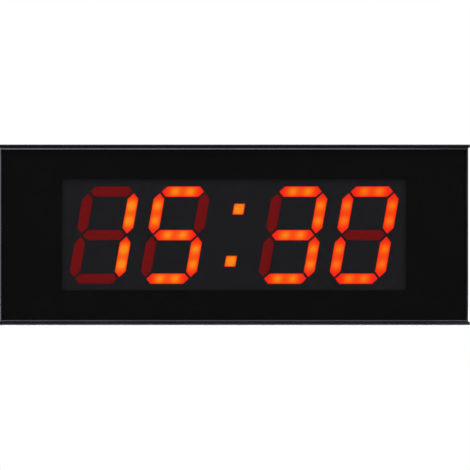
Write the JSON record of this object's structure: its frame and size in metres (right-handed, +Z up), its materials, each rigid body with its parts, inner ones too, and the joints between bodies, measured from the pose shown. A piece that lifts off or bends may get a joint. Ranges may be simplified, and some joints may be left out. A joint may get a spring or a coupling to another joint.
{
  "type": "digital wall clock",
  "caption": "Wide, flat LED wall clock with large slanted red digits behind a black acrylic panel, in a black aluminium frame.",
  "frame": {"origin": "middle of the rear face that lies against the wall", "axes": "+X to the reader's right, +Y into the wall, +Z up; the display faces -Y"},
  "size_m": [0.3618, 0.04, 0.1384],
  "materials": {
    "anodised_aluminium": "black anodised, satin",
    "black_steel": "black oxide",
    "rear_sheet": "fine texture",
    "smoked_acrylic": "polished",
    "printed_film": "screen printed black",
    "reflector_plastic": "moulded charcoal",
    "lit_diffuser": "translucent, lit",
    "unlit_diffuser": "translucent, unlit",
    "led_package": "white package",
    "circuit_board": "green solder mask",
    "nylon": "natural nylon",
    "black_plastic": "moulded",
    "chip_epoxy": "moulded epoxy",
    "capacitor_can": "printed sleeve",
    "crystal_can": "tinned",
    "cell_steel": "stainless",
    "plated_pin": "nickel plated",
    "button_plastic": "moulded, satin",
    "switch_plastic": "moulded"
  },
  "bodies": {
    "case": {"backup_battery": "cell_steel", "battery_holder": "black_plastic", "board_link_header": "black_plastic", "board_supports": "nylon", "bottom_rail": "anodised_aluminium", "clock_crystal": "crystal_can", "colon_lower_dot": "lit_diffuser", "colon_upper_dot": "lit_diffuser", "control_board": "circuit_board", "control_chips": "chip_epoxy", "dc_jack": "black_plastic", "dc_jack_pin": "plated_pin", "display_reflector": "reflector_plastic", "end_plate_screws": "black_steel", "front_panel": "smoked_acrylic", "hour_tens_segment_a": "unlit_diffuser", "hour_tens_segment_b": "lit_diffuser", "hour_tens_segment_c": "lit_diffuser", "hour_tens_segment_d": "unlit_diffuser", "hour_tens_segment_e": "unlit_diffuser", "hour_tens_segment_f": "unlit_diffuser", "hour_tens_segment_g": "unlit_diffuser", "hour_units_segment_a": "lit_diffuser", "hour_units_segment_b": "unlit_diffuser", "hour_units_segment_c": "lit_diffuser", "hour_units_segment_d": "lit_diffuser", "hour_units_segment_e": "unlit_diffuser", "hour_units_segment_f": "lit_diffuser", "hour_units_segment_g": "lit_diffuser", "led_board": "circuit_board", "leds": "led_package", "left_end_plate": "anodised_aluminium", "minute_tens_segment_a": "lit_diffuser", "minute_tens_segment_b": "lit_diffuser", "minute_tens_segment_c": "lit_diffuser", "minute_tens_segment_d": "lit_diffuser", "minute_tens_segment_e": "unlit_diffuser", "minute_tens_segment_f": "unlit_diffuser", "minute_tens_segment_g": "lit_diffuser", "minute_units_segment_a": "lit_diffuser", "minute_units_segment_b": "lit_diffuser", "minute_units_segment_c": "lit_diffuser", "minute_units_segment_d": "lit_diffuser", "minute_units_segment_e": "lit_diffuser", "minute_units_segment_f": "lit_diffuser", "minute_units_segment_g": "unlit_diffuser", "rear_cover": "rear_sheet", "rear_cover_screws": "black_steel", "right_end_plate": "anodised_aluminium", "smoothing_capacitor": "capacitor_can", "switch_bodies": "black_plastic", "top_rail": "anodised_aluminium", "window_mask": "printed_film"},
    "set_key": {"set_button": "button_plastic", "set_switch_plunger": "switch_plastic"},
    "down_key": {"down_button": "button_plastic", "down_switch_plunger": "switch_plastic"},
    "up_key": {"up_button": "button_plastic", "up_switch_plunger": "switch_plastic"}
  },
  "joints": [
    {"name": "set_press", "type": "slide", "parent": "case", "child": "set_key", "axis": [0, 0, 1], "range_m": [0, 0.0005], "stiffness_N_per_m": 400},
    {"name": "down_press", "type": "slide", "parent": "case", "child": "down_key", "axis": [0, 0, 1], "range_m": [0, 0.0005], "stiffness_N_per_m": 400},
    {"name": "up_press", "type": "slide", "parent": "case", "child": "up_key", "axis": [0, 0, 1], "range_m": [0, 0.0005], "stiffness_N_per_m": 400}
  ]
}
